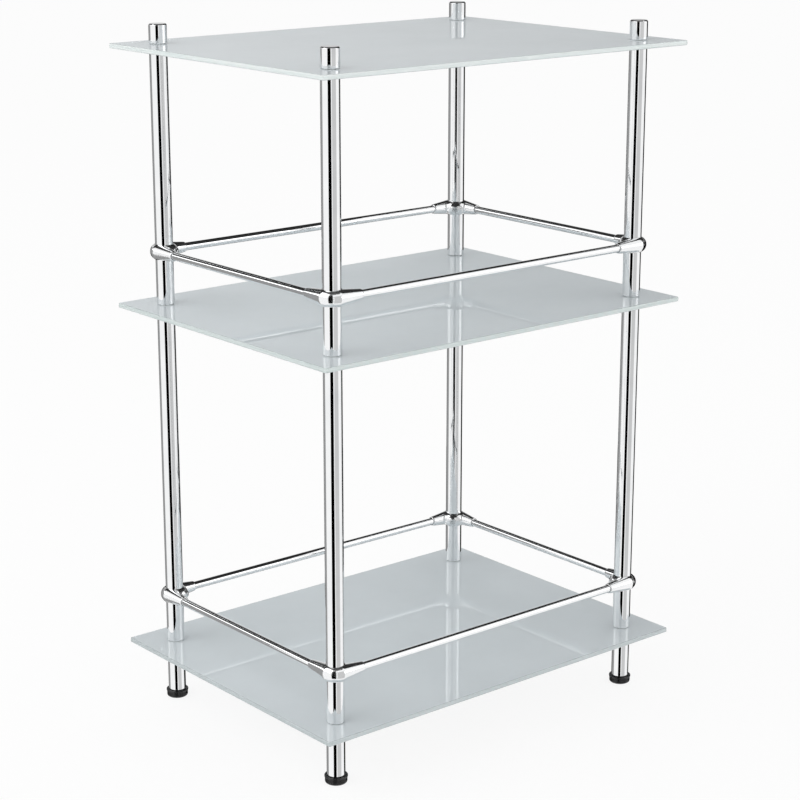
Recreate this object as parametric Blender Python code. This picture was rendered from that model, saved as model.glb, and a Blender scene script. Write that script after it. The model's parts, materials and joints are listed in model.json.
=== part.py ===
"""A free-standing glass shelf unit, modelled piece by piece in metres with +Z up.

Three frosted glass shelves are drilled at their corners. At each corner a column of chrome tubes stands
on a black levelling foot: a leg, a lower post, an upper post and a cap. Threaded studs pass through the
holes in the glass and pull the tubes together. Above the middle and the bottom shelf, cast corner
connectors are screwed to the posts and carry a gallery of four thin rails.

The origin is on the floor, in the middle of the unit. The long front side faces -Y.
"""

import math

import bmesh
import bpy
from mathutils import Matrix

# Glass shelves
SHELF_WIDTH = 0.480
SHELF_DEPTH = 0.360
GLASS_THICKNESS = 0.005
SHELF_CORNER_RADIUS = 0.002
GLASS_EDGE_BEVEL = 0.0010
GLASS_HOLE_CLEARANCE = 0.0010

# Columns: each post's axis stands this far in from both edges of the glass
POST_INSET = 0.0365
POST_DIAMETER = 0.019
TUBE_WALL = 0.0012
LEG_LENGTH = 0.052
LOWER_POST_LENGTH = 0.374
UPPER_POST_LENGTH = 0.267
PLUG_LENGTH = 0.015

# Caps on top of the posts
CAP_HEIGHT = 0.020
CAP_BEVEL = 0.0016

# Levelling feet, screwed up against the legs
FOOT_DIAMETER = 0.0230
FOOT_HEIGHT = 0.0085
FOOT_LIP_HEIGHT = 0.0020
FOOT_LIP_OVERHANG = 0.0005
FOOT_EDGE_RADIUS = 0.0024
FOOT_STEM_LENGTH = 0.013

# Gallery rails, measured from the top of the glass below to the middle of the rail
UPPER_RAIL_HEIGHT = 0.0567
LOWER_RAIL_HEIGHT = 0.0538
RAIL_DIAMETER = 0.0085
RAIL_WALL = 0.0010

# Rail connectors: a cast, full-round ring on the post that runs out into two tapered socket arms
CONNECTOR_HEIGHT = 0.0172
CONNECTOR_WALL = 0.0052
ARM_LENGTH = 0.0150
ARM_TAPER = 0.0024
ARM_SET_IN = 0.0003
SOCKET_WALL = 0.00095
SOCKET_FLOOR = 0.0010

# Fasteners, with their threads left plain
STUD_DIAMETER = 0.006
STUD_ENGAGEMENT = 0.012
SCREW_DIAMETER = 0.004
SCREW_HEAD_DIAMETER = 0.0068
SCREW_HEAD_HEIGHT = 0.0020
SCREW_HEAD_CROWN = 0.0007
SCREW_SEAT_DEPTH = 0.0022
SCREW_REACH = 0.0030

# Clearances
FIT_GAP = 0.0003
WASHER_GAP = 0.0006
WELD_DISTANCE = 0.00001

# Facets round a full turn, and along a rounded edge
TUBE_SEGMENTS = 20
RAIL_SEGMENTS = 12
FASTENER_SEGMENTS = 12
ARC_STEPS = 2
RING_ARC_STEPS = 4

# Sizes that follow from the ones above
POST_RADIUS = POST_DIAMETER / 2
TUBE_INSIDE_RADIUS = POST_RADIUS - TUBE_WALL
RAIL_RADIUS = RAIL_DIAMETER / 2
STUD_RADIUS = STUD_DIAMETER / 2
SCREW_RADIUS = SCREW_DIAMETER / 2
SCREW_HEAD_RADIUS = SCREW_HEAD_DIAMETER / 2
FOOT_RADIUS = FOOT_DIAMETER / 2
THREAD_HOLE_RADIUS = STUD_RADIUS + FIT_GAP
GLASS_HOLE_RADIUS = STUD_RADIUS + GLASS_HOLE_CLEARANCE
POST_X = SHELF_WIDTH / 2 - POST_INSET
POST_Y = SHELF_DEPTH / 2 - POST_INSET

RING_BORE_RADIUS = POST_RADIUS + FIT_GAP
RING_RADIUS = RING_BORE_RADIUS + CONNECTOR_WALL
RING_ROUND_RADIUS = CONNECTOR_HEIGHT / 2
SOCKET_RADIUS = RAIL_RADIUS + FIT_GAP
ARM_END_RADIUS = SOCKET_RADIUS + SOCKET_WALL
ARM_ROOT_RADIUS = ARM_END_RADIUS + ARM_TAPER
ARM_REACH = RING_RADIUS + ARM_LENGTH
SOCKET_BOTTOM = RING_RADIUS + SOCKET_FLOOR
RAIL_END = SOCKET_BOTTOM + FIT_GAP
RAIL_OFFSET = RING_RADIUS - ARM_ROOT_RADIUS - ARM_SET_IN
SCREW_SEAT = RING_RADIUS - SCREW_SEAT_DEPTH
SCREW_HOLE_RADIUS = SCREW_RADIUS + FIT_GAP

# Heights, stacked up from the floor
LEG_Z = FOOT_HEIGHT + FIT_GAP
BOTTOM_SHELF_Z = LEG_Z + LEG_LENGTH + WASHER_GAP
LOWER_POST_Z = BOTTOM_SHELF_Z + GLASS_THICKNESS + WASHER_GAP
MIDDLE_SHELF_Z = LOWER_POST_Z + LOWER_POST_LENGTH + WASHER_GAP
UPPER_POST_Z = MIDDLE_SHELF_Z + GLASS_THICKNESS + WASHER_GAP
TOP_SHELF_Z = UPPER_POST_Z + UPPER_POST_LENGTH + WASHER_GAP
CAP_Z = TOP_SHELF_Z + GLASS_THICKNESS + WASHER_GAP
LOWER_RAIL_Z = BOTTOM_SHELF_Z + GLASS_THICKNESS + LOWER_RAIL_HEIGHT
UPPER_RAIL_Z = MIDDLE_SHELF_Z + GLASS_THICKNESS + UPPER_RAIL_HEIGHT

# The corner's place, and its turn from the front left corner, where the arms point along +X and +Y
CORNERS = {
    "front_left": (-POST_X, -POST_Y, 0.0),
    "front_right": (POST_X, -POST_Y, math.pi / 2),
    "back_right": (POST_X, POST_Y, math.pi),
    "back_left": (-POST_X, POST_Y, -math.pi / 2),
}
SHELVES = {"bottom": BOTTOM_SHELF_Z, "middle": MIDDLE_SHELF_Z, "top": TOP_SHELF_Z}
GALLERIES = {"lower": LOWER_RAIL_Z, "upper": UPPER_RAIL_Z}
SMOOTH_ANGLE = math.radians(35)

# Turns that lay a piece modelled along Z along X, along Y, or from the post towards the unit's middle
ALONG_X = (0, math.pi / 2, 0)
ALONG_Y = (-math.pi / 2, 0, 0)
INWARD = (0, math.pi / 2, math.pi / 4)


def clear_scene():
    """Remove whatever the file holds before the unit is built."""
    for thing in list(bpy.data.objects):
        bpy.data.objects.remove(thing, do_unlink=True)


def make_material(name, colour, roughness, metallic=0.0, transmission=0.0):
    """A Principled BSDF with the finish of one kind of piece."""
    material = bpy.data.materials.new(name)
    material.use_nodes = True
    shader = material.node_tree.nodes["Principled BSDF"]
    shader.inputs["Base Color"].default_value = (*colour, 1.0)
    shader.inputs["Roughness"].default_value = roughness
    shader.inputs["Metallic"].default_value = metallic
    shader.inputs["Transmission Weight"].default_value = transmission
    return material


def finish_mesh(form, name):
    """Turn a bmesh into a mesh with outward normals, smooth but for its sharp edges."""
    bmesh.ops.recalc_face_normals(form, faces=form.faces)
    mesh = bpy.data.meshes.new(name)
    form.to_mesh(mesh)
    form.free()
    mesh.shade_smooth()
    mesh.set_sharp_from_angle(angle=SMOOTH_ANGLE)
    return mesh


def add_object(name, mesh, place=(0, 0, 0), turn=(0, 0, 0), parent=None, material=None):
    """Link a mesh into the scene as one named piece."""
    piece = bpy.data.objects.new(name, mesh)
    bpy.context.scene.collection.objects.link(piece)
    piece.location = place
    piece.rotation_euler = turn
    piece.parent = parent
    if material is not None and not mesh.materials:
        mesh.materials.append(material)
    return piece


def add_empty(name, place=(0, 0, 0), turn_z=0.0, parent=None):
    """An axis that pieces hang on."""
    return add_object(name, None, place, (0, 0, turn_z), parent)


def arc(centre, radius, start, end, steps=ARC_STEPS):
    """Points of a round edge in a profile, from one angle to the other."""
    points = []
    for step in range(steps + 1):
        angle = start + (end - start) * step / steps
        points.append((centre[0] + radius * math.cos(angle), centre[1] + radius * math.sin(angle)))
    return points


def turned_mesh(name, profile, segments, closed=False):
    """Spin a profile of (radius, height) points about Z. A closed profile makes a tube."""
    form = bmesh.new()
    points = [form.verts.new((radius, 0.0, height)) for radius, height in profile]
    edges = [form.edges.new(pair) for pair in zip(points, points[1:])]
    if closed:
        edges.append(form.edges.new((points[-1], points[0])))
    bmesh.ops.spin(
        form,
        geom=points + edges,
        cent=(0, 0, 0),
        axis=(0, 0, 1),
        angle=2 * math.pi,
        steps=segments,
        use_merge=True,
    )
    bmesh.ops.remove_doubles(form, verts=form.verts, dist=WELD_DISTANCE)
    return finish_mesh(form, name)


def evaluated_mesh(template, name, tools):
    """The mesh of an object after its modifiers. The object and its tools are cleared away."""
    weld = template.modifiers.new("weld", "WELD")
    weld.merge_threshold = WELD_DISTANCE
    graph = bpy.context.evaluated_depsgraph_get()
    mesh = bpy.data.meshes.new_from_object(template.evaluated_get(graph))
    mesh.name = name
    mesh.shade_smooth()
    mesh.set_sharp_from_angle(angle=SMOOTH_ANGLE)
    for helper in (template, *tools):
        bpy.data.objects.remove(helper, do_unlink=True)
    return mesh


def add_boolean(piece, tool, operation):
    """Join a tool to a piece or cut it away. The tool stays out of the model."""
    tool.hide_render = True
    tool.display_type = "WIRE"
    modifier = piece.modifiers.new(f"{operation.lower()}_{tool.name}", "BOOLEAN")
    modifier.operation = operation
    modifier.solver = "EXACT"
    modifier.object = tool


def shelf_blank_mesh():
    """A glass plate with rounded corners and bevelled, polished edges, before it is drilled."""
    form = bmesh.new()
    bmesh.ops.create_grid(form, x_segments=1, y_segments=1, size=0.5)
    bmesh.ops.scale(form, vec=(SHELF_WIDTH, SHELF_DEPTH, 1), verts=form.verts)
    bmesh.ops.bevel(
        form,
        geom=form.verts[:],
        offset=SHELF_CORNER_RADIUS,
        offset_type="OFFSET",
        segments=ARC_STEPS,
        profile=0.5,
        affect="VERTICES",
    )
    plate = bmesh.ops.extrude_face_region(form, geom=form.faces[:])
    raised = [item for item in plate["geom"] if isinstance(item, bmesh.types.BMVert)]
    bmesh.ops.translate(form, vec=(0, 0, GLASS_THICKNESS), verts=raised)
    bmesh.ops.recalc_face_normals(form, faces=form.faces)
    rims = [edge for edge in form.edges if edge.verts[0].co.z == edge.verts[1].co.z]
    bmesh.ops.bevel(form, geom=rims, offset=GLASS_EDGE_BEVEL, segments=1, affect="EDGES")
    return finish_mesh(form, "shelf_blank")


def shelf_drills():
    """Four long drills, one on each post's axis, that pierce all three shelves."""
    form = bmesh.new()
    for x, y, _ in CORNERS.values():
        bmesh.ops.create_cone(
            form,
            cap_ends=True,
            segments=FASTENER_SEGMENTS,
            radius1=GLASS_HOLE_RADIUS,
            radius2=GLASS_HOLE_RADIUS,
            depth=2 * CAP_Z,
            matrix=Matrix.Translation((x, y, CAP_Z / 2)),
        )
    return add_object("shelf_drills", finish_mesh(form, "shelf_drills"))


def tube_mesh(name, length):
    """A tube whose ends hold fixed plugs, each with a threaded hole along the axis."""
    profile = [
        (POST_RADIUS, length),
        (POST_RADIUS, 0),
        (THREAD_HOLE_RADIUS, 0),
        (THREAD_HOLE_RADIUS, PLUG_LENGTH),
        (TUBE_INSIDE_RADIUS, PLUG_LENGTH),
        (TUBE_INSIDE_RADIUS, length - PLUG_LENGTH),
        (THREAD_HOLE_RADIUS, length - PLUG_LENGTH),
        (THREAD_HOLE_RADIUS, length),
    ]
    return turned_mesh(name, profile, TUBE_SEGMENTS, closed=True)


def post_mesh(name, length, hole_height):
    """A plugged tube with a tapped hole in its inner side, for the screw that fixes a connector."""
    post = add_object(name, tube_mesh(name, length))
    profile = [(0, 0), (SCREW_HOLE_RADIUS, 0), (SCREW_HOLE_RADIUS, RING_RADIUS), (0, RING_RADIUS)]
    drill_mesh = turned_mesh("screw_drill", profile, FASTENER_SEGMENTS)
    drill = add_object("screw_drill", drill_mesh, (0, 0, hole_height), INWARD)
    add_boolean(post, drill, "DIFFERENCE")
    return evaluated_mesh(post, name, [drill])


def cap_mesh():
    """A turned cap with a bevelled rim, bored from below for the top stud."""
    bore_depth = STUD_ENGAGEMENT + FIT_GAP
    profile = [
        (0, CAP_HEIGHT),
        (POST_RADIUS - CAP_BEVEL, CAP_HEIGHT),
        (POST_RADIUS, CAP_HEIGHT - CAP_BEVEL),
        (POST_RADIUS, 0),
        (THREAD_HOLE_RADIUS, 0),
        (THREAD_HOLE_RADIUS, bore_depth),
        (0, bore_depth),
    ]
    return turned_mesh("top_cap", profile, TUBE_SEGMENTS)


def foot_mesh():
    """A moulded foot with a lip round its top, a rounded tread and its stem standing up."""
    lip = FOOT_RADIUS + FOOT_LIP_OVERHANG
    tread = arc((FOOT_RADIUS - FOOT_EDGE_RADIUS, FOOT_EDGE_RADIUS), FOOT_EDGE_RADIUS, 0, -math.pi / 2)
    profile = [
        (0, FOOT_HEIGHT + FOOT_STEM_LENGTH),
        (STUD_RADIUS, FOOT_HEIGHT + FOOT_STEM_LENGTH),
        (STUD_RADIUS, FOOT_HEIGHT),
        (lip, FOOT_HEIGHT),
        (lip, FOOT_HEIGHT - FOOT_LIP_HEIGHT),
        (FOOT_RADIUS, FOOT_HEIGHT - FOOT_LIP_HEIGHT),
        *tread,
        (0, 0),
    ]
    return turned_mesh("foot", profile, TUBE_SEGMENTS)


def stud_mesh():
    """A double-ended stud, centred on the middle of the glass."""
    half = GLASS_THICKNESS / 2 + WASHER_GAP + STUD_ENGAGEMENT
    profile = [(0, half), (STUD_RADIUS, half), (STUD_RADIUS, -half), (0, -half)]
    return turned_mesh("stud", profile, FASTENER_SEGMENTS)


def rail_mesh(name, post_spacing):
    """A thin tube that reaches from socket to socket, centred on its own middle."""
    half = post_spacing / 2 - RAIL_END
    inside = RAIL_RADIUS - RAIL_WALL
    profile = [(RAIL_RADIUS, half), (RAIL_RADIUS, -half), (inside, -half), (inside, half)]
    return turned_mesh(name, profile, RAIL_SEGMENTS, closed=True)


def screw_mesh():
    """A fixing screw along Z. Its origin is on the post's axis and its crowned head faces up."""
    head_base = SCREW_SEAT + FIT_GAP
    head_top = head_base + SCREW_HEAD_HEIGHT
    tip = TUBE_INSIDE_RADIUS - SCREW_REACH
    profile = [
        (0, head_top),
        (SCREW_HEAD_RADIUS / 2, head_top - SCREW_HEAD_CROWN / 4),
        (SCREW_HEAD_RADIUS, head_top - SCREW_HEAD_CROWN),
        (SCREW_HEAD_RADIUS, head_base),
        (SCREW_RADIUS, head_base),
        (SCREW_RADIUS, tip),
        (0, tip),
    ]
    return turned_mesh("fixing_screw", profile, FASTENER_SEGMENTS)


def connector_ring():
    """The ring as a full puck with a half-round rim. The post's bore is cut later."""
    rim = (RING_RADIUS - RING_ROUND_RADIUS, 0)
    profile = [
        (0, RING_ROUND_RADIUS),
        *arc(rim, RING_ROUND_RADIUS, math.pi / 2, -math.pi / 2, 2 * RING_ARC_STEPS),
        (0, -RING_ROUND_RADIUS),
    ]
    return add_object("connector_ring", turned_mesh("connector_ring", profile, TUBE_SEGMENTS))


def connector_arm(name, place, turn):
    """A tapered arm along its own Z, with a blind socket for a rail in its far end."""
    profile = [
        (0, 0),
        (ARM_ROOT_RADIUS, 0),
        (ARM_END_RADIUS, ARM_REACH),
        (SOCKET_RADIUS, ARM_REACH),
        (SOCKET_RADIUS, SOCKET_BOTTOM),
        (0, SOCKET_BOTTOM),
    ]
    return add_object(name, turned_mesh(name, profile, RAIL_SEGMENTS), place, turn)


def post_bore():
    """The cutter for the hole that the post passes through."""
    radius = RING_BORE_RADIUS
    end = CONNECTOR_HEIGHT
    profile = [(0, end), (radius, end), (radius, -end), (0, -end)]
    return add_object("post_bore", turned_mesh("post_bore", profile, TUBE_SEGMENTS))


def screw_bore():
    """The cutter for the fixing screw's hole and for the flat seat under its head."""
    hole = SCREW_HOLE_RADIUS
    seat = SCREW_HEAD_RADIUS + FIT_GAP
    outside = SCREW_SEAT + CONNECTOR_WALL
    profile = [(0, 0), (hole, 0), (hole, SCREW_SEAT), (seat, SCREW_SEAT), (seat, outside), (0, outside)]
    return add_object("screw_bore", turned_mesh("screw_bore", profile, FASTENER_SEGMENTS), turn=INWARD)


def connector_mesh():
    """The cast ring with two tapered arms at right angles, bored for the post and the screw."""
    ring = connector_ring()
    front_arm = connector_arm("front_arm", (0, -RAIL_OFFSET, 0), ALONG_X)
    side_arm = connector_arm("side_arm", (-RAIL_OFFSET, 0, 0), ALONG_Y)
    cutters = [post_bore(), screw_bore()]
    for arm in (front_arm, side_arm):
        add_boolean(ring, arm, "UNION")
    for cutter in cutters:
        add_boolean(ring, cutter, "DIFFERENCE")
    return evaluated_mesh(ring, "rail_connector", [front_arm, side_arm, *cutters])


def add_shelves(unit):
    """The three drilled glass plates."""
    glass = make_material("frosted_glass", (0.55, 0.60, 0.60), 0.25, transmission=0.85)
    drills = shelf_drills()
    for level, height in SHELVES.items():
        blank = shelf_blank_mesh()
        shelf = add_object(f"{level}_glass_shelf", blank, (0, 0, height), parent=unit, material=glass)
        add_boolean(shelf, drills, "DIFFERENCE")


def add_columns(corners):
    """At each corner, the foot, the three tubes, the cap and the studs between them."""
    chrome = make_material("chrome_tube", (0.80, 0.81, 0.82), 0.06, metallic=1.0)
    cap_chrome = make_material("chrome_cap", (0.82, 0.83, 0.84), 0.05, metallic=1.0)
    black = make_material("black_plastic", (0.012, 0.012, 0.013), 0.45)
    zinc = make_material("zinc_steel", (0.55, 0.56, 0.58), 0.35, metallic=1.0)
    lower_post = post_mesh("lower_post", LOWER_POST_LENGTH, LOWER_RAIL_Z - LOWER_POST_Z)
    upper_post = post_mesh("upper_post", UPPER_POST_LENGTH, UPPER_RAIL_Z - UPPER_POST_Z)
    pieces = [
        ("foot", foot_mesh(), 0, black),
        ("leg", tube_mesh("leg", LEG_LENGTH), LEG_Z, chrome),
        ("lower_post", lower_post, LOWER_POST_Z, chrome),
        ("upper_post", upper_post, UPPER_POST_Z, chrome),
        ("top_cap", cap_mesh(), CAP_Z, cap_chrome),
    ]
    stud = stud_mesh()
    for level, height in SHELVES.items():
        pieces.append((f"{level}_stud", stud, height + GLASS_THICKNESS / 2, zinc))
    for corner, axis in corners.items():
        for kind, mesh, height, material in pieces:
            add_object(f"{corner}_{kind}", mesh, (0, 0, height), parent=axis, material=material)


def add_connectors(corners):
    """Two connectors at each corner, each with its fixing screw in the inner corner."""
    chrome = make_material("chrome_casting", (0.80, 0.80, 0.81), 0.10, metallic=1.0)
    screw_steel = make_material("screw_steel", (0.60, 0.60, 0.62), 0.28, metallic=1.0)
    connector = connector_mesh()
    screw = screw_mesh()
    for corner, axis in corners.items():
        for gallery, height in GALLERIES.items():
            name = f"{corner}_{gallery}"
            add_object(f"{name}_connector", connector, (0, 0, height), parent=axis, material=chrome)
            add_object(f"{name}_fixing_screw", screw, (0, 0, height), INWARD, axis, screw_steel)


def add_rails(unit):
    """Four rails in each gallery, outside the posts' axes by the connectors' offset."""
    chrome = make_material("chrome_rail", (0.81, 0.82, 0.83), 0.07, metallic=1.0)
    long_rail = rail_mesh("long_rail", 2 * POST_X)
    short_rail = rail_mesh("short_rail", 2 * POST_Y)
    side_x = POST_X + RAIL_OFFSET
    side_y = POST_Y + RAIL_OFFSET
    for gallery, height in GALLERIES.items():
        sides = {
            "front": (long_rail, (0, -side_y, height), ALONG_X),
            "back": (long_rail, (0, side_y, height), ALONG_X),
            "left": (short_rail, (-side_x, 0, height), ALONG_Y),
            "right": (short_rail, (side_x, 0, height), ALONG_Y),
        }
        for side, (mesh, place, turn) in sides.items():
            add_object(f"{gallery}_{side}_rail", mesh, place, turn, unit, chrome)


def build():
    """Put the whole unit together."""
    clear_scene()
    unit = add_empty("shelf_unit")
    corners = {}
    for corner, (x, y, turn) in CORNERS.items():
        corners[corner] = add_empty(f"{corner}_axis", (x, y, 0), turn, unit)
    add_shelves(unit)
    add_columns(corners)
    add_connectors(corners)
    add_rails(unit)


build()
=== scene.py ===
# %% [markdown]
# # Dressing a glass shelf unit
#
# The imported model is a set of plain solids: three glass shelves, four stacks of chrome tube, two galleries
# of rails and four screw feet. This lesson loads those solids as a fixed frame and models over them, piece
# by piece, what the photograph shows: rounded tube ends, cast connectors, fluted feet, polished glass edges.
# Every size is read from the frame or has a name of its own, given where it is first used.

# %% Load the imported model
import json
import math

import bmesh
import bpy
from mathutils import Matrix, Vector

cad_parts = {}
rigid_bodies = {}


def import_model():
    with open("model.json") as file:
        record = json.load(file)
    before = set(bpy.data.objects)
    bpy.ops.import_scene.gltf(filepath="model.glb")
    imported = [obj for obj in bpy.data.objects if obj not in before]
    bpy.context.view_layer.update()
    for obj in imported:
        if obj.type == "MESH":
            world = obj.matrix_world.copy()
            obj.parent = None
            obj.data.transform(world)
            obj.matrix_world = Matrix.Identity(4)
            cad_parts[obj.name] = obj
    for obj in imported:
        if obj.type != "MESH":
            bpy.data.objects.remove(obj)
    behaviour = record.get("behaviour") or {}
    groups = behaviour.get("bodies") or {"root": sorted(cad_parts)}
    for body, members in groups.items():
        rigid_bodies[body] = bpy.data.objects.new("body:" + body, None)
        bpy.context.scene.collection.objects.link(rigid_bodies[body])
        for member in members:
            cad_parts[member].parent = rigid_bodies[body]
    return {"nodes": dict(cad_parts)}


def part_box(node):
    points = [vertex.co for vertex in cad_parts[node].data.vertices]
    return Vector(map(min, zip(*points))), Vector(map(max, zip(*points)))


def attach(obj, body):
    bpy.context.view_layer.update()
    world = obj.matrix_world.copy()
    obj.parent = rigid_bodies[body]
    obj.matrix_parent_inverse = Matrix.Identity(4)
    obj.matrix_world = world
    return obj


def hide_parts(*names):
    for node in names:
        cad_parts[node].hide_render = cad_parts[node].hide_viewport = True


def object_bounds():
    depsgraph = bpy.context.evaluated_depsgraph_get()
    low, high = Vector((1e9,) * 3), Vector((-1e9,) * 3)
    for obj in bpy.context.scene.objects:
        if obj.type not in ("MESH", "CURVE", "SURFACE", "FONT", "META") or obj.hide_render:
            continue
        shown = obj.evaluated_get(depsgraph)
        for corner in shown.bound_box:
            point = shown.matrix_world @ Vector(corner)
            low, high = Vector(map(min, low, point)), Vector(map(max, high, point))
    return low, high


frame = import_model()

MM = 0.001
scene = bpy.context.scene
scene.view_settings.view_transform = "Standard"
cad_low, cad_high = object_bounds()
print("CAD size in mm:", [round(side / MM, 1) for side in cad_high - cad_low])

# %% [markdown]
# ## The camera
#
# The photograph was taken from a little over two metres away with a long lens, from a little over two
# fifths of the way round the front corner. Turn, tilt and distance were found by matching the corners of the
# shelves. The photographer kept the posts upright with a shifted lens. Shift would push the object out of
# every other view, so this camera tilts down instead, and the posts lean a little.

# %% Set up the camera
CAMERA_PLACE = Vector((-1.4124, -1.7028, 0.9472))
CAMERA_TURN = math.radians(39.666)
CAMERA_TILT = math.radians(15.457)
FOCAL_LENGTH_IN_IMAGES = 2121.4 / 800

lens = bpy.data.cameras.new("photo_camera")
lens.sensor_width = 36
lens.lens = FOCAL_LENGTH_IN_IMAGES * lens.sensor_width
camera = bpy.data.objects.new("photo_camera", lens)
camera.location = CAMERA_PLACE
camera.rotation_euler = (math.radians(90) - CAMERA_TILT, 0, -CAMERA_TURN)
scene.collection.objects.link(camera)
scene.camera = camera
print("Lens in mm:", round(lens.lens, 1))

# %% [markdown]
# ## The studio
#
# Chrome has no colour of its own: it shows the room. A photographer therefore puts it in a white tent and
# stands dark cards, called flags, where a dark line should run down a tube. The tent here is a white world.
# The camera, mirrors and clear glass see it plain white. As a light, its walls are stronger than its
# ceiling, so that enough of it gets in between the shelves.

# %% White world
WHITE = (1, 1, 1, 1)
WALL_LIGHT = 2.2
CEILING_LIGHT = 0.1

world = bpy.data.worlds.new("white_tent")
scene.world = world
world.use_nodes = True
tent = world.node_tree
tent.nodes.clear()
seen = tent.nodes.new("ShaderNodeLightPath")
seen_or_mirrored = tent.nodes.new("ShaderNodeMath")
seen_or_mirrored.operation = "MAXIMUM"
seen_at_all = tent.nodes.new("ShaderNodeMath")
seen_at_all.operation = "MAXIMUM"
soft_light = tent.nodes.new("ShaderNodeBackground")
soft_light.inputs["Color"].default_value = WHITE
direction = tent.nodes.new("ShaderNodeTexCoord")
axes = tent.nodes.new("ShaderNodeSeparateXYZ")
height_light = tent.nodes.new("ShaderNodeMapRange")
height_light.inputs["To Min"].default_value = WALL_LIGHT
height_light.inputs["To Max"].default_value = CEILING_LIGHT
tent.links.new(direction.outputs["Generated"], axes.inputs[0])
tent.links.new(axes.outputs["Z"], height_light.inputs["Value"])
tent.links.new(height_light.outputs["Result"], soft_light.inputs["Strength"])
white_wall = tent.nodes.new("ShaderNodeBackground")
white_wall.inputs["Color"].default_value = WHITE
white_wall.inputs["Strength"].default_value = 1
either = tent.nodes.new("ShaderNodeMixShader")
sky = tent.nodes.new("ShaderNodeOutputWorld")
tent.links.new(seen.outputs["Is Camera Ray"], seen_or_mirrored.inputs[0])
tent.links.new(seen.outputs["Is Glossy Ray"], seen_or_mirrored.inputs[1])
tent.links.new(seen_or_mirrored.outputs[0], seen_at_all.inputs[0])
tent.links.new(seen.outputs["Is Transmission Ray"], seen_at_all.inputs[1])
tent.links.new(seen_at_all.outputs[0], either.inputs["Fac"])
tent.links.new(soft_light.outputs[0], either.inputs[1])
tent.links.new(white_wall.outputs[0], either.inputs[2])
tent.links.new(either.outputs[0], sky.inputs["Surface"])
print("Light of walls and ceiling:", WALL_LIGHT, CEILING_LIGHT)

# %% [markdown]
# The floor is plain and pale, and keeps the soft shadow. Most of what the camera sees of it is its own
# white, as in a picture that was cleaned for a catalogue. Mirrors do not see it: for them the tent goes on
# below.

# %% Pale floor
FLOOR_WIDTH = 60
FLOOR_DROP = 0.1 * MM
FLOOR_GREY = 0.96
OWN_WHITE = 0.88

bpy.ops.object.select_all(action="DESELECT")
bpy.ops.mesh.primitive_plane_add(size=FLOOR_WIDTH, location=(0, 0, cad_low.z - FLOOR_DROP))
floor = bpy.context.object
floor.name = "pale_floor"
floor_paint = bpy.data.materials.new("pale_floor")
floor_paint.use_nodes = True
paint = floor_paint.node_tree
paint.nodes.clear()
floor_seen = paint.nodes.new("ShaderNodeLightPath")
floor_share = paint.nodes.new("ShaderNodeMath")
floor_share.operation = "MULTIPLY"
floor_share.inputs[1].default_value = OWN_WHITE
lit = paint.nodes.new("ShaderNodeBsdfDiffuse")
lit.inputs["Color"].default_value = (FLOOR_GREY, FLOOR_GREY, FLOOR_GREY, 1)
own = paint.nodes.new("ShaderNodeEmission")
own.inputs["Color"].default_value = WHITE
floor_mix = paint.nodes.new("ShaderNodeMixShader")
floor_out = paint.nodes.new("ShaderNodeOutputMaterial")
paint.links.new(floor_seen.outputs["Is Camera Ray"], floor_share.inputs[0])
paint.links.new(floor_share.outputs[0], floor_mix.inputs["Fac"])
paint.links.new(lit.outputs[0], floor_mix.inputs[1])
paint.links.new(own.outputs[0], floor_mix.inputs[2])
paint.links.new(floor_mix.outputs[0], floor_out.inputs["Surface"])
floor.data.materials.append(floor_paint)
floor.visible_glossy = False
print("Floor at", round(floor.location.z / MM, 2), "mm")

# %% [markdown]
# The flags are cards that only mirrors can see, so they shade nothing. Each is a grid whose points are set
# on a bent or flat surface. Most glow in one even tone, from black to brighter than white.

# %% Helpers for mirror cards
STUDIO_MIDDLE = (cad_low + cad_high) / 2
CARD_STEPS_ACROSS = 48
CARD_STEPS_UP = 24


def studio_direction(angle):
    """A level direction at an angle from the camera's own, positive to the camera's right."""
    turn = -CAMERA_TURN - math.pi / 2 + math.radians(angle)
    return Vector((math.cos(turn), math.sin(turn), 0))


def glow(name, tone):
    """A material that looks the same grey from everywhere, whatever the light."""
    material = bpy.data.materials.new(name)
    material.use_nodes = True
    tree = material.node_tree
    tree.nodes.clear()
    shine = tree.nodes.new("ShaderNodeEmission")
    shine.inputs["Color"].default_value = WHITE
    shine.inputs["Strength"].default_value = tone
    out = tree.nodes.new("ShaderNodeOutputMaterial")
    tree.links.new(shine.outputs[0], out.inputs["Surface"])
    return material


def mirror_card(name, place, material):
    """A card from a grid, whose two directions run from 0 to 1, that only mirrors can see."""
    bpy.ops.object.select_all(action="DESELECT")
    bpy.ops.mesh.primitive_grid_add(x_subdivisions=CARD_STEPS_ACROSS, y_subdivisions=CARD_STEPS_UP, size=1)
    card = bpy.context.object
    card.name = name
    for vertex in card.data.vertices:
        vertex.co = place(vertex.co.x + 0.5, vertex.co.y + 0.5)
    card.data.materials.append(material)
    card.visible_camera = False
    card.visible_diffuse = False
    card.visible_transmission = False
    card.visible_shadow = False
    return card


print("Middle of the studio:", [round(value, 2) for value in STUDIO_MIDDLE])

# %% [markdown]
# Most flags stand on a wide circle. Their angles are counted from the camera, positive to its right. A tube
# shows a card at twice the angle of its surface: the card near the camera gives the black line down the
# middle, the grey one beside it the grey half, and those behind the thin dark lines at the edges. The two
# bright strips at the sides are what the rails show as thin lights in the glass.

# %% Flags and strips
FLAG_DISTANCE = 3.6


def flag(name, start, end, low, high, tone):
    """A tall flag on the studio's circle between two angles and two heights."""
    def place(across, up):
        level = STUDIO_MIDDLE + FLAG_DISTANCE * studio_direction(start + across * (end - start))
        return Vector((level.x, level.y, low + up * (high - low)))
    return mirror_card(name, place, glow(name, tone))


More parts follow.
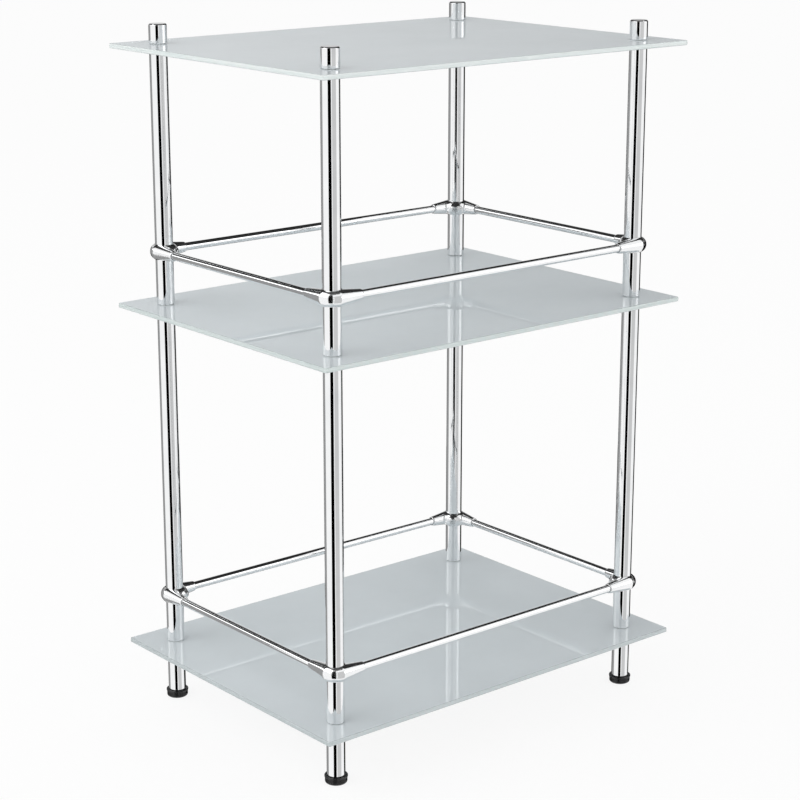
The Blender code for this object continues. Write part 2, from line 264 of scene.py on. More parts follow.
flag("camera_flag", -26, 8, -3.2, 5.8, 0.0)
flag("right_grey_flag", 17, 66, -3.2, 3.0, 0.62)
flag("right_back_flag", 114, 164, -2.2, 1.2, 0.0)
flag("left_back_flag", -146, -96, -3.6, 1.3, 0.32)
flag("left_edge_flag", -166, -146, -2.6, 0.9, 0.0)
flag("low_back_flag", 164, 194, -3.6, -0.8, 0.12)
flag("right_strip", 66, 98, 0.7, 1.9, 2.2)
flag("left_strip", -118, -88, 1.3, 1.9, 2.2)
print("Flags:", [item.name for item in scene.objects if "flag" in item.name or "strip" in item.name])

# %% [markdown]
# The dome closes the back. It is light at the horizon, where the two upper shelves mirror it, greyer where
# the lowest one does, and a little darker to the right, as the shelves are in the photograph. Higher up it
# is nearly black, which draws the black line along the top of the rails. Its tone comes from the height of
# the point, and from the card's own UV across.

# %% Dome behind
DOME_DISTANCE = 6.0
DOME_START = 110
DOME_SWEEP = 140


def dome_place(across, up):
    """A point of the dome behind: round the back, and from the horizon to overhead."""
    level = studio_direction(DOME_START + DOME_SWEEP * across)
    rise = math.radians(90 * up)
    return STUDIO_MIDDLE + DOME_DISTANCE * (math.cos(rise) * level + math.sin(rise) * Vector((0, 0, 1)))


dome_paint = glow("dark_dome", 0)
dome_tree = dome_paint.node_tree
dome_point = dome_tree.nodes.new("ShaderNodeTexCoord")
dome_axes = dome_tree.nodes.new("ShaderNodeSeparateXYZ")
dome_share = dome_tree.nodes.new("ShaderNodeMath")
dome_share.operation = "MULTIPLY"
dome_share.inputs[1].default_value = 1 / DOME_DISTANCE
dome_ramp = dome_tree.nodes.new("ShaderNodeValToRGB")
dome_steps = ((0.0, 0.72), (0.32, 0.67), (0.35, 0.34), (0.43, 0.36), (0.46, 0.03), (0.85, 0.02))
for index, (place, tone) in enumerate(dome_steps):
    stop = dome_ramp.color_ramp.elements[index] if index < 2 else dome_ramp.color_ramp.elements.new(place)
    stop.position = place
    stop.color = (tone, tone, tone, 1)
dome_tree.links.new(dome_point.outputs["Object"], dome_axes.inputs[0])
dome_tree.links.new(dome_axes.outputs["Z"], dome_share.inputs[0])
dome_tree.links.new(dome_share.outputs[0], dome_ramp.inputs["Fac"])
dome_tree.links.new(dome_ramp.outputs["Color"], dome_tree.nodes["Emission"].inputs["Color"])
dome_width = dome_tree.nodes.new("ShaderNodeSeparateXYZ")
dome_side = dome_tree.nodes.new("ShaderNodeMapRange")
for socket, value in (("From Min", 0.35), ("From Max", 0.7), ("To Min", 0.47), ("To Max", 1.35)):
    dome_side.inputs[socket].default_value = value
dome_tree.links.new(dome_point.outputs["UV"], dome_width.inputs[0])
dome_tree.links.new(dome_width.outputs["X"], dome_side.inputs["Value"])
dome_tree.links.new(dome_side.outputs["Result"], dome_tree.nodes["Emission"].inputs["Strength"])
mirror_card("dark_dome", dome_place, dome_paint)
print("Dome steps:", dome_steps)

# %% [markdown]
# A dark round card overhead draws the chamfer of each cap and the upper side of the connectors.

# %% Card overhead
CEILING_RISE = 3.4
CEILING_RADIUS = 2.1
CEILING_TONE = 0.12


def ceiling_place(across, up):
    """A point of the round flag overhead."""
    level = CEILING_RADIUS * up * studio_direction(360 * across)
    return STUDIO_MIDDLE + level + Vector((0, 0, CEILING_RISE))


mirror_card("ceiling_flag", ceiling_place, glow("ceiling_flag", CEILING_TONE))
print("Card overhead at", round(STUDIO_MIDDLE.z + CEILING_RISE, 2), "m")

# %% [markdown]
# The front rails can't see the dome, because the shelf above is in the way. A dark card close under that
# shelf takes the dome's part: in the rails it is a painted reflection of shade, so that their black line is
# like that of the other rails. Its back lets all rays through, so it doesn't darken the shelf itself.

# %% Cards under the shelves
CARD_DROP = 2 * MM
# Painted shade: the card's dark tone stands in for the shade under the shelf, as the rails mirror it.
SHADE_CARD_TONE = 0.03


def shade_card_under(level):
    """A flat card close under a shelf, dark from below and clear from above, that mirrors show as painted
    shade.
    """
    low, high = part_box(level + "_glass_shelf")
    paint = glow(level + "_shelf_shade_card", SHADE_CARD_TONE)
    tree = paint.node_tree
    side = tree.nodes.new("ShaderNodeNewGeometry")
    clear = tree.nodes.new("ShaderNodeBsdfTransparent")
    either = tree.nodes.new("ShaderNodeMixShader")
    tree.links.new(side.outputs["Backfacing"], either.inputs["Fac"])
    tree.links.new(tree.nodes["Emission"].outputs[0], either.inputs[1])
    tree.links.new(clear.outputs[0], either.inputs[2])
    tree.links.new(either.outputs[0], tree.nodes["Material Output"].inputs["Surface"])

    def place(across, up):
        x = high.x + across * (low.x - high.x)
        y = low.y + up * (high.y - low.y)
        return Vector((x, y, low.z - CARD_DROP))
    return mirror_card(level + "_shelf_shade_card", place, paint)


for level in ("top", "middle"):
    print("Card under the", level, "shelf faces", shade_card_under(level).data.polygons[0].normal.z)

# %% [markdown]
# One large soft lamp from the upper left gives the shadow a direction. It stays weak, because the white
# tent already lights the unit at a plain level.

# %% Soft lamp
LAMP_SIZE = 2.4
LAMP_POWER = 22
LAMP_ANGLE = -62
LAMP_DISTANCE = 2.2
LAMP_RISE = 2.2

lamp_data = bpy.data.lights.new("soft_lamp", "AREA")
lamp_data.size = LAMP_SIZE
lamp_data.energy = LAMP_POWER
lamp = bpy.data.objects.new("soft_lamp", lamp_data)
lamp.location = STUDIO_MIDDLE + LAMP_DISTANCE * studio_direction(LAMP_ANGLE) + Vector((0, 0, LAMP_RISE))
lamp.rotation_euler = (STUDIO_MIDDLE - lamp.location).to_track_quat("-Z", "Y").to_euler()
scene.collection.objects.link(lamp)
print("Lamp at", [round(value, 2) for value in lamp.location])

# %% [markdown]
# ## The finishes
#
# Each finish is built from nodes on the piece's own coordinates in metres, so it keeps its true scale and
# goes with the piece. A few helpers do the repeated work: noise, a range of numbers or colours that the
# noise picks from, and a bump.

# %% Helpers for the finishes
NOISE_LOW = 0.3
NOISE_HIGH = 0.7


def new_finish(name):
    """A material, its node tree and its main shader."""
    material = bpy.data.materials.new(name)
    material.use_nodes = True
    return material, material.node_tree, material.node_tree.nodes["Principled BSDF"]


def grain(tree, scale, detail, stretch=(1, 1, 1)):
    """Noise on the piece's own coordinates; scale is in grains to the metre."""
    point = tree.nodes.new("ShaderNodeTexCoord")
    stretcher = tree.nodes.new("ShaderNodeMapping")
    stretcher.inputs["Scale"].default_value = stretch
    noise = tree.nodes.new("ShaderNodeTexNoise")
    noise.inputs["Scale"].default_value = scale
    noise.inputs["Detail"].default_value = detail
    tree.links.new(point.outputs["Object"], stretcher.inputs["Vector"])
    tree.links.new(stretcher.outputs["Vector"], noise.inputs["Vector"])
    return noise.outputs["Fac"]


def spread(tree, value, low, high, socket):
    """Send noise to a number of the shader, from its low to its high value."""
    fit = tree.nodes.new("ShaderNodeMapRange")
    fit.inputs["From Min"].default_value = NOISE_LOW
    fit.inputs["From Max"].default_value = NOISE_HIGH
    fit.inputs["To Min"].default_value = low
    fit.inputs["To Max"].default_value = high
    tree.links.new(value, fit.inputs["Value"])
    tree.links.new(fit.outputs["Result"], socket)


def tint(tree, value, first, second, socket):
    """Let noise choose between two colours."""
    ramp = tree.nodes.new("ShaderNodeValToRGB")
    ramp.color_ramp.elements[0].position = NOISE_LOW
    ramp.color_ramp.elements[0].color = (*first, 1)
    ramp.color_ramp.elements[1].position = NOISE_HIGH
    ramp.color_ramp.elements[1].color = (*second, 1)
    tree.links.new(value, ramp.inputs["Fac"])
    tree.links.new(ramp.outputs["Color"], socket)


def relief(tree, value, height, strength, shader):
    """A bump of a real height in metres."""
    bump = tree.nodes.new("ShaderNodeBump")
    bump.inputs["Strength"].default_value = strength
    bump.inputs["Distance"].default_value = height
    tree.links.new(value, bump.inputs["Height"])
    tree.links.new(bump.outputs["Normal"], shader.inputs["Normal"])


# %% [markdown]
# Chrome on drawn tube is bright and nearly flawless, with faint finger smudges in the gloss and the finest
# unevenness from the polishing wheel. The connectors are cast before they are plated, so their skin is a
# little softer.

# %% Chrome
def chrome(name, rough_low, rough_high, peel):
    """Plated metal, from mirror bright to softly cast."""
    material, tree, shader = new_finish(name)
    shader.inputs["Metallic"].default_value = 1
    smudges = grain(tree, 38, 5)
    tint(tree, smudges, (0.86, 0.87, 0.88), (0.93, 0.935, 0.94), shader.inputs["Base Color"])
    spread(tree, grain(tree, 120, 6), rough_low, rough_high, shader.inputs["Roughness"])
    relief(tree, grain(tree, 520, 3), peel, 0.2, shader)
    return material


tube_chrome = chrome("tube_chrome", 0.025, 0.06, 0.004 * MM)
cast_chrome = chrome("cast_chrome", 0.09, 0.18, 0.010 * MM)
print("Finishes:", tube_chrome.name, cast_chrome.name)

# %% [markdown]
# The shelves are etched safety glass. The etching underneath scatters light to an even grey, while the
# smooth top still mirrors the posts and rails like still water. A rough body that lets some light through,
# with a smooth coat over it, does both.

# %% Etched glass
etched_glass, tree, shader = new_finish("etched_glass")
cloud = grain(tree, 9, 3)
tint(tree, cloud, (0.72, 0.78, 0.81), (0.77, 0.83, 0.86), shader.inputs["Base Color"])
spread(tree, grain(tree, 60, 4), 0.58, 0.68, shader.inputs["Roughness"])
relief(tree, grain(tree, 2600, 2), 0.02 * MM, 0.25, shader)
shader.inputs["Transmission Weight"].default_value = 0.15
shader.inputs["IOR"].default_value = 1.5
shader.inputs["Coat Weight"].default_value = 0.55
shader.inputs["Coat Roughness"].default_value = 0.012
shader.inputs["Coat IOR"].default_value = 1.9
print("Finish:", etched_glass.name)

# %% [markdown]
# The ground edge is polished: pale, faintly green, with fine streaks along it from the grinding wheel. Each
# level's edge has its own colour, darker on the lower shelves: that is painted shade, for the lower shelves
# get less light. The underside is the etched face itself, so it is matt, with no smooth coat over it. Its
# colour is darker than the top's, which is painted shade as well.

# %% Polished edges and underside
def edge_painted_shade_finish(level, first, second):
    """A ground and polished edge whose colour holds painted shade: darker for a shelf that gets less light.
    """
    material, tree, shader = new_finish(level + "_polished_edge_painted_shade")
    tint(tree, grain(tree, 160, 4, (0.12, 0.12, 6)), first, second, shader.inputs["Base Color"])
    spread(tree, grain(tree, 240, 3), 0.10, 0.22, shader.inputs["Roughness"])
    relief(tree, grain(tree, 700, 3), 0.01 * MM, 0.2, shader)
    shader.inputs["Transmission Weight"].default_value = 0.2
    shader.inputs["IOR"].default_value = 1.5
    shader.inputs["Coat Weight"].default_value = 0.6
    shader.inputs["Coat Roughness"].default_value = 0.03
    return material


# Painted shade: the middle and bottom edges get darker colours than the top one, as those shelves get less
# light.
edge_painted_shade_finishes = {
    "top": edge_painted_shade_finish("top", (0.73, 0.81, 0.80), (0.86, 0.90, 0.89)),
    "middle": edge_painted_shade_finish("middle", (0.60, 0.68, 0.67), (0.73, 0.79, 0.78)),
    "bottom": edge_painted_shade_finish("bottom", (0.51, 0.57, 0.58), (0.62, 0.67, 0.68)),
}

# Painted shade: the underside gets a darker colour than the top of the same glass, as little light reaches
# it from below.
etched_underside_painted_shade, tree, shader = new_finish("etched_underside_painted_shade")
tint(tree, grain(tree, 14, 3), (0.52, 0.56, 0.57), (0.58, 0.62, 0.63), shader.inputs["Base Color"])
spread(tree, grain(tree, 70, 4), 0.50, 0.62, shader.inputs["Roughness"])
relief(tree, grain(tree, 2600, 2), 0.02 * MM, 0.25, shader)
shader.inputs["Transmission Weight"].default_value = 0.15
shader.inputs["IOR"].default_value = 1.5
print("Finishes:", etched_underside_painted_shade.name, [finish.name for finish in edge_painted_shade_finishes.values()])

# %% [markdown]
# The feet are black moulded plastic with a fine tool texture and a little dust-grey rub. The screws and
# studs are zinc-plated steel, greyer and rougher than the chrome. The washers are clear, soft plastic.

# %% Plastic and steel
foot_plastic, tree, shader = new_finish("foot_plastic")
rub = grain(tree, 420, 6)
tint(tree, rub, (0.004, 0.004, 0.005), (0.012, 0.012, 0.013), shader.inputs["Base Color"])
spread(tree, grain(tree, 300, 4), 0.22, 0.40, shader.inputs["Roughness"])
relief(tree, grain(tree, 1800, 3), 0.05 * MM, 0.5, shader)

plated_steel, tree, shader = new_finish("plated_steel")
shader.inputs["Metallic"].default_value = 1
tint(tree, grain(tree, 260, 5), (0.70, 0.71, 0.72), (0.84, 0.85, 0.86), shader.inputs["Base Color"])
spread(tree, grain(tree, 700, 4), 0.14, 0.26, shader.inputs["Roughness"])
relief(tree, grain(tree, 1500, 3), 0.01 * MM, 0.3, shader)

washer_plastic, tree, shader = new_finish("washer_plastic")
tint(tree, grain(tree, 500, 4), (0.74, 0.77, 0.77), (0.88, 0.90, 0.90), shader.inputs["Base Color"])
spread(tree, grain(tree, 350, 3), 0.25, 0.45, shader.inputs["Roughness"])
relief(tree, grain(tree, 1200, 2), 0.02 * MM, 0.3, shader)
shader.inputs["Transmission Weight"].default_value = 0.4
print("Finishes:", foot_plastic.name, plated_steel.name, washer_plastic.name)

# %% [markdown]
# ## Working as by hand
#
# The pieces are modelled with the same operators as in Blender's window: add a primitive, go into edit
# mode, select faces or edges, then bevel, inset or extrude them. In code the selecting is done by a test on
# place or direction. These first helpers add a primitive and pick what the next operator works on.

# %% Helpers for adding and picking
TINY = 0.01 * MM
LEVEL_NORMAL = 0.999
UPRIGHT_NORMAL = 0.01


def only(piece):
    """Go back to object mode and select one piece alone."""
    if bpy.context.object and bpy.context.object.mode != "OBJECT":
        bpy.ops.object.mode_set(mode="OBJECT")
    bpy.ops.object.select_all(action="DESELECT")
    piece.select_set(True)
    bpy.context.view_layer.objects.active = piece


def settle(name):
    """Name the primitive just added, and write its place, turn and size into its mesh."""
    piece = bpy.context.object
    piece.name = name
    piece.data.name = name
    only(piece)
    bpy.ops.object.transform_apply(location=True, rotation=True, scale=True)
    return piece


def upright(name, radius, low, high, sides):
    """A closed cylinder on the upright axis, from one height to another."""
    bpy.ops.object.select_all(action="DESELECT")
    middle = (0, 0, (low + high) / 2)
    bpy.ops.mesh.primitive_cylinder_add(vertices=sides, radius=radius, depth=high - low, location=middle)
    return settle(name)


def pick(piece, kind, test):
    """Go into edit mode and select the faces or edges that pass a test."""
    only(piece)
    bpy.ops.object.mode_set(mode="EDIT")
    bpy.ops.mesh.select_mode(type=kind)
    bpy.ops.mesh.select_all(action="DESELECT")
    form = bmesh.from_edit_mesh(piece.data)
    parts = form.faces if kind == "FACE" else form.edges
    picked = [part for part in parts if test(part)]
    for part in picked:
        part.select_set(True)
    bmesh.update_edit_mesh(piece.data)
    return len(picked)


def level_rim(*heights):
    """A test for edges that lie level at one of some heights."""
    def test(edge):
        return any(all(abs(vertex.co.z - height) < TINY for vertex in edge.verts) for height in heights)
    return test


def end_face(*heights):
    """A test for flat faces that lie level at one of some heights."""
    def test(face):
        level = abs(face.normal.z) > LEVEL_NORMAL
        return level and any(abs(face.calc_center_median().z - height) < TINY for height in heights)
    return test


print("Heights count as equal within", TINY / MM, "mm")

# %% [markdown]
# The next helpers are the few operations that nearly every piece needs: round some edges, sink a blind hole
# into an end, join or cut with a second shape, and shade smooth.

# %% Helpers for shaping
SMOOTH_ANGLE = math.radians(40)


def round_edges(piece, test, size, segments):
    """Bevel the edges that pass a test to a round of a given size."""
    count = pick(piece, "EDGE", test)
    bpy.ops.mesh.bevel(offset=size, segments=segments, profile=0.5, affect="EDGES")
    bpy.ops.object.mode_set(mode="OBJECT")
    return count


def sink_ends(piece, test, border, depth):
    """Inset the end faces by a border and sink what is left, as a blind hole."""
    pick(piece, "FACE", test)
    bpy.ops.mesh.inset(thickness=border)
    bpy.ops.mesh.inset(thickness=0, depth=-depth)
    bpy.ops.object.mode_set(mode="OBJECT")


def combine(piece, tool, operation):
    """Join or cut a piece with a second shape, which is used up."""
    only(piece)
    bpy.ops.object.modifier_add(type="BOOLEAN")
    modifier = piece.modifiers[-1]
    modifier.operation = operation
    modifier.solver = "EXACT"
    modifier.object = tool
    bpy.ops.object.modifier_apply(modifier=modifier.name)
    bpy.data.objects.remove(tool)


def smooth(piece):
    """Shade the round parts smooth and keep the large faces true."""
    only(piece)
    bpy.ops.object.shade_smooth_by_angle(angle=SMOOTH_ANGLE)
    bpy.ops.object.modifier_add(type="WEIGHTED_NORMAL")
    piece.modifiers[-1].keep_sharp = True
    bpy.ops.object.modifier_apply(modifier=piece.modifiers[-1].name)


print("Shaping helpers:", [helper.__name__ for helper in (round_edges, sink_ends, combine, smooth)])

# %% [markdown]
# What repeats is modelled once at the origin, as it stands at the front left corner, and copied to its
# places: a quarter turn for each corner round the unit, then out to the axis of that corner's tubes. Each
# copy has a mesh of its own, rides on its body and takes the place of its plain solid.

# %% Helpers for placing
CORNERS = ("front_left", "front_right", "back_right", "back_left")
LEVELS = ("top", "middle", "bottom")
GALLERIES = ("upper", "lower")


def post_axis(corner):
    """The upright axis of the tubes at a corner."""
    low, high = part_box(corner + "_leg")
    return Vector(((low.x + high.x) / 2, (low.y + high.y) / 2, 0))


def corner_place(corner):
    """A quarter turn for each corner round the unit, and then out to the corner's axis."""
    turn = Matrix.Rotation(math.radians(90 * CORNERS.index(corner)), 4, "Z")
    return Matrix.Translation(post_axis(corner)) @ turn


def put(model, name, place, body, slot, *nodes):
    """A copy of a model with a mesh of its own, set in its place on a body."""
    piece = model.copy()
    piece.data = model.data.copy()
    piece.name = name
    piece.data.name = name
    piece.data.transform(place)
    scene.collection.objects.link(piece)
    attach(piece, body)
    if nodes:
        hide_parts(*nodes)
    return piece


def put_at_connectors(model, kind, slot, node):
    """Copies of a model at the eight connectors, four in each gallery."""
    for gallery in GALLERIES:
        low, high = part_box("front_left_" + gallery + "_connector")
        lift = Matrix.Translation((0, 0, (low.z + high.z) / 2))
        for corner in CORNERS:
            prefix = corner + "_" + gallery + "_"
            put(model, prefix + kind, corner_place(corner) @ lift, "frame", slot, prefix + node)


print("Post axes in mm:", [[round(value / MM, 1) for value in post_axis(corner)[:2]] for corner in CORNERS])

# %% [markdown]
# ## The glass shelves
#
# A shelf is cut from float glass, its corners are rounded, its edges ground and polished, and four holes
# are drilled before it is tempered. The same order works here: a block, upright edges rounded, rims rounded,
# holes cut with a Boolean. All three shelves are alike in plan, but each is made from its own node's box.

# %% Model the shelves
SHELF_CORNER = 2 * MM
SHELF_EDGE = 0.9 * MM
SHELF_HOLE = 4 * MM
DRILL_SIDES = 64
UNDERSIDE_NORMAL = -0.3


def upright_edge(edge):
    """A test for edges that stand upright."""
    first, second = edge.verts
    return abs(first.co.z - second.co.z) > MM


def glass_shelf(level):
    """One shelf, from a block the size of its node."""
    low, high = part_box(level + "_glass_shelf")
    bpy.ops.object.select_all(action="DESELECT")
    bpy.ops.mesh.primitive_cube_add(size=1, location=(low + high) / 2, scale=high - low)
    shelf = settle(level + "_etched_shelf")
    round_edges(shelf, upright_edge, SHELF_CORNER, 6)
    round_edges(shelf, level_rim(low.z, high.z), SHELF_EDGE, 4)
    for corner in CORNERS:
        drill = upright("drill", SHELF_HOLE, low.z - MM, high.z + MM, DRILL_SIDES)
        drill.data.transform(Matrix.Translation(post_axis(corner)))
        combine(shelf, drill, "DIFFERENCE")
    smooth(shelf)
    shelf.data.materials.clear()
    shelf.data.materials.append(etched_glass)
    shelf.data.materials.append(edge_painted_shade_finishes[level])
    shelf.data.materials.append(etched_underside_painted_shade)
    pick(shelf, "FACE", lambda face: abs(face.normal.z) < LEVEL_NORMAL)
    shelf.active_material_index = 1
    bpy.ops.object.material_slot_assign()
    pick(shelf, "FACE", lambda face: face.normal.z < UNDERSIDE_NORMAL)
    shelf.active_material_index = 2
    bpy.ops.object.material_slot_assign()
    bpy.ops.object.mode_set(mode="OBJECT")
    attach(shelf, "frame")
    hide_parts(level + "_glass_shelf")
    return shelf


for level in LEVELS:
    print(level, "shelf faces:", len(glass_shelf(level).data.polygons))

# %% [markdown]
# ## The tubes
#
# Legs, lower posts and upper posts are drawn tube, cut to length, turned down to a small round at the ends
# and plated. A plug with a threaded hole closes each end. One cylinder does it: its rims are bevelled, and
# its end faces inset and sunk. Smooth shading alone would bend the long sides, so the large faces are
# weighted.

# %% Model the tubes
TUBE_SIDES = 128
TUBE_END_ROUND = 0.7 * MM
STUD_HOLE = 3.3 * MM
STUD_HOLE_DEPTH = 14 * MM

for kind in ("leg", "lower_post", "upper_post"):
    name = "plated_" + kind
    low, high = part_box("front_left_" + kind)
    radius = (high.x - low.x) / 2
    tube = upright(name, radius, low.z, high.z, TUBE_SIDES)
    round_edges(tube, level_rim(low.z, high.z), TUBE_END_ROUND, 4)
    sink_ends(tube, end_face(low.z, high.z), radius - TUBE_END_ROUND - STUD_HOLE, STUD_HOLE_DEPTH)
    smooth(tube)
    tube.data.materials.append(tube_chrome)
    for corner in CORNERS:
        put(tube, corner + "_" + name, corner_place(corner), "frame", "chrome", corner + "_" + kind)
    bpy.data.objects.remove(tube)
    print(name, "length in mm:", round((high.z - low.z) / MM, 1))

# %% [markdown]
# A cap is turned to the tube's width, with a narrow chamfer round its flat top. The chamfer is a bevel of
# one segment, and its two edges are eased with a second, much smaller bevel, as polishing would do.

# %% Model the caps
CAP_CHAMFER = 1.2 * MM
CAP_EASE = 0.25 * MM

low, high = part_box("front_left_top_cap")
radius = (high.x - low.x) / 2
cap = upright("polished_cap", radius, low.z, high.z, TUBE_SIDES)
round_edges(cap, level_rim(high.z), CAP_CHAMFER, 1)
round_edges(cap, level_rim(high.z, high.z - CAP_CHAMFER), CAP_EASE, 3)
round_edges(cap, level_rim(low.z), TUBE_END_ROUND, 4)
sink_ends(cap, end_face(low.z), radius - TUBE_END_ROUND - STUD_HOLE, STUD_HOLE_DEPTH)
smooth(cap)
cap.data.materials.append(tube_chrome)
for corner in CORNERS:
    put(cap, corner + "_polished_cap", corner_place(corner), "frame", "chrome", corner + "_top_cap")
bpy.data.objects.remove(cap)
print("Cap height in mm:", round((high.z - low.z) / MM, 1))

# %% [markdown]
# ## The washers
#
# Glass must not touch metal, so a thin clear washer lies on each side of the glass at every stud. A filled
# circle is inset, its middle deleted, and the ring that is left extruded to its thickness.

# %% Model the washers
WASHER_SIDES = 96
WASHER_RADIUS = 8.8 * MM
WASHER_HOLE = 3.3 * MM
WASHER_THICKNESS = 0.5 * MM
WASHER_ROUND = 0.1 * MM
WASHER_PLAY = 0.05 * MM

bpy.ops.object.select_all(action="DESELECT")
bpy.ops.mesh.primitive_circle_add(vertices=WASHER_SIDES, radius=WASHER_RADIUS, fill_type="NGON")
washer = settle("clear_washer")
pick(washer, "FACE", lambda face: True)
bpy.ops.mesh.inset(thickness=WASHER_RADIUS - WASHER_HOLE)
bpy.ops.mesh.delete(type="FACE")
bpy.ops.mesh.select_all(action="SELECT")
bpy.ops.mesh.extrude_region_move(TRANSFORM_OT_translate={"value": (0, 0, WASHER_THICKNESS)})
bpy.ops.mesh.select_all(action="SELECT")
bpy.ops.mesh.normals_make_consistent(inside=False)
bpy.ops.object.mode_set(mode="OBJECT")
round_edges(washer, level_rim(0, WASHER_THICKNESS), WASHER_ROUND, 2)
smooth(washer)
washer.data.materials.append(washer_plastic)

washers = []
for level in LEVELS:
    low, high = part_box(level + "_glass_shelf")
    under = low.z - WASHER_THICKNESS - WASHER_PLAY
    for side, height in (("under", under), ("over", high.z + WASHER_PLAY)):
        for corner in CORNERS:
            place = Matrix.Translation(post_axis(corner) + Vector((0, 0, height)))
            name = corner + "_" + side + "_" + level + "_shelf_washer"
            washers.append(put(washer, name, place, "frame", None))
bpy.data.objects.remove(washer)
print("Washers:", len(washers))

# %% [markdown]
# ## The feet
#
# A screw foot is moulded in black plastic, with flutes to grip while it is turned, a thin lip at the top
# and a rounded sole. The cylinder gets its lip by extruding and widening the top, its sole by a bevel, and
# its flutes by sinking every second side face.

# %% Model the feet
FOOT_SIDES = 80
FOOT_LIP = 2 * MM
FOOT_LIP_REACH = 0.5 * MM
FOOT_SOLE = 2.4 * MM
FLUTE_DEPTH = 0.4 * MM
FLUTE_BORDER = 0.12 * MM
LIP_ROUND = 0.4 * MM
LIP_MARGIN = 0.05 * MM
STEM_RADIUS = 3 * MM
STEM_ROUND = 0.5 * MM
FOOT_GAP = 0.3 * MM

low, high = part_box("front_left_foot")
lip_radius = (high.x - low.x) / 2
pad_radius = lip_radius - FOOT_LIP_REACH
pad_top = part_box("front_left_leg")[0].z - FOOT_GAP
neck = pad_top - FOOT_LIP


def every_second_side(face):
    """A test for every second face round the side of the foot."""
    middle = face.calc_center_median()
    step = math.floor(math.atan2(middle.y, middle.x) / (2 * math.pi) * FOOT_SIDES)
    return abs(face.normal.z) < UPRIGHT_NORMAL and step % 2 == 0


foot = upright("fluted_foot", pad_radius, low.z, neck, FOOT_SIDES)
round_edges(foot, level_rim(low.z), FOOT_SOLE, 5)
flutes = pick(foot, "FACE", every_second_side)
bpy.ops.mesh.inset(thickness=FLUTE_BORDER, depth=-FLUTE_DEPTH, use_individual=True)
bpy.ops.object.mode_set(mode="OBJECT")
pick(foot, "FACE", end_face(neck))
bpy.ops.mesh.extrude_region_move(TRANSFORM_OT_translate={"value": (0, 0, 0)})
wider = lip_radius / pad_radius
bpy.ops.transform.resize(value=(wider, wider, 1), center_override=(0, 0, neck))
bpy.ops.mesh.extrude_region_move(TRANSFORM_OT_translate={"value": (0, 0, FOOT_LIP)})
bpy.ops.mesh.inset(thickness=lip_radius - STEM_RADIUS)
bpy.ops.mesh.extrude_region_move(TRANSFORM_OT_translate={"value": (0, 0, high.z - pad_top)})
bpy.ops.object.mode_set(mode="OBJECT")


def lip_rim(edge):
    """A test for the two outer edges of the lip."""
    wide = all(math.hypot(*vertex.co.xy) > lip_radius - LIP_MARGIN for vertex in edge.verts)
    return wide and level_rim(neck, pad_top)(edge)


round_edges(foot, lip_rim, LIP_ROUND, 3)
round_edges(foot, level_rim(high.z), STEM_ROUND, 2)
smooth(foot)
foot.data.materials.append(foot_plastic)
for corner in CORNERS:
    name = corner + "_fluted_foot"
    put(foot, name, corner_place(corner), corner + "_glide", "black_plastic", corner + "_foot")
print("Flutes:", flutes, "foot faces:", len(foot.data.polygons))
bpy.data.objects.remove(foot)

# %% [markdown]
# ## The rail connectors
#
# The connector is the cleverest piece: one casting, like a bent elbow round the post, whose two tapering
# arms flow into a rounded ring and are set off to the outside, so that the rails pass the post. First come
# the sizes, and three helpers that lay an upright shape along an arm or along the screw.

# %% Sizes and directions of the connector
RING_SIDES = 128
RING_HEIGHT = 17.2 * MM
RING_ROUND = 0.49 * RING_HEIGHT
ARM_SIDES = 96
ARM_START = -5 * MM
ARM_ROOT = 9.5 * MM
ARM_ROOT_ROUND = 6 * MM
ARM_END = 5.5 * MM
POST_BORE = 9.8 * MM
SOCKET_SIDES = 64
SOCKET_START = 16.0 * MM
SOCKET_RADIUS = 4.55 * MM
SEAT_START = 12.8 * MM
SEAT_RADIUS = 3.7 * MM
SCREW_HOLE = 2.3 * MM
SCREW_HOLE_SIDES = 48
CUT_END = 40 * MM
SKIN = 0.42 * MM
SKIN_SMOOTHING = 36
CAST_ANGLE = math.radians(38)

low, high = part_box("front_left_upper_connector")
axis = post_axis("front_left")
ring_radius = axis.x - low.x
arm_reach = high.x - axis.x
rail_low, rail_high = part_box("upper_front_rail")
arm_offset = axis.y - (rail_low.y + rail_high.y) / 2


def along_x(model):
    """Lay a shape that points up along the first arm, which points to the right."""
    turn = Matrix.Rotation(math.radians(90), 4, "Y")
    model.data.transform(Matrix.Translation((0, -arm_offset, 0)) @ turn)
    return model


def along_y(model):
    """Lay a shape that points up along the second arm, which points to the back."""
    turn = Matrix.Rotation(math.radians(-90), 4, "X")
    model.data.transform(Matrix.Translation((-arm_offset, 0, 0)) @ turn)
    return model


def inward(model):
    """Lay a shape that points up along the diagonal to the middle of the unit."""
    turn = Matrix.Rotation(math.radians(45), 4, "Z") @ Matrix.Rotation(math.radians(90), 4, "Y")
    model.data.transform(turn)
    return model


print("Ring radius, arm reach and offset in mm:",
      [round(value / MM, 1) for value in (ring_radius, arm_reach, arm_offset)])

# %% [markdown]
# A bevel can't follow such a meeting of three shapes. Clay can: a ring with fully round edges and two
# cones with round roots are joined, turned into an even skin of small voxels, and smoothed until the corners
# fill.

# %% Cast the connector
def arm_cone():
    """A cone on the upright axis, from a round root near the corner to the end of the arm."""
    bpy.ops.object.select_all(action="DESELECT")
    middle = (0, 0, (ARM_START + arm_reach) / 2)
    length = arm_reach - ARM_START
    bpy.ops.mesh.primitive_cone_add(
        vertices=ARM_SIDES, radius1=ARM_ROOT, radius2=ARM_END, depth=length, location=middle)
    arm = settle("arm")
    round_edges(arm, level_rim(ARM_START), ARM_ROOT_ROUND, 6)
    return arm


